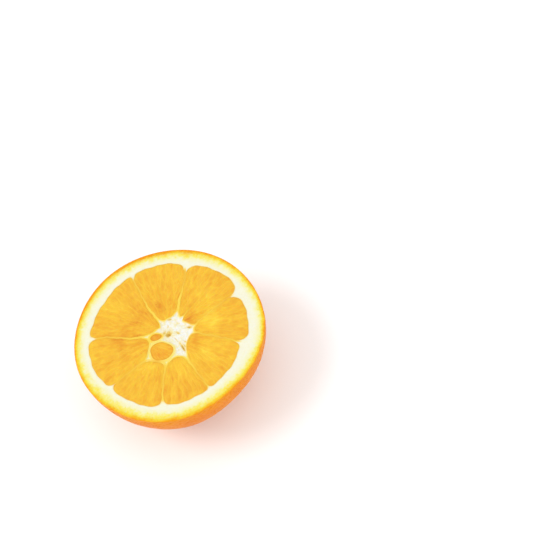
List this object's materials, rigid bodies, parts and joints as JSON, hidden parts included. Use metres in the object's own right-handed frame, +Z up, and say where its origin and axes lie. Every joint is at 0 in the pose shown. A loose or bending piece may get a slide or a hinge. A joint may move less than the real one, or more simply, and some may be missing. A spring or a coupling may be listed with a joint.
{
  "type": "orange half",
  "caption": "Half of a navel orange cut across its middle, lying cut face up, with juicy segments, thin walls, white pith, a spongy core and pebbled peel.",
  "frame": {"origin": "middle of the box round the half, at the level of the flat spot it rests on", "axes": "+Z up through the cut face, +X along the widest way across the cut"},
  "size_m": [0.0838, 0.0812, 0.0395],
  "materials": {
    "rind": "satin, finely pebbled orange peel",
    "pith": "soft matt white pith, yellow towards the peel",
    "pulp": "wet translucent juice vesicles"
  },
  "bodies": {
    "root": {"orange_half": "rind"}
  },
  "joints": []
}
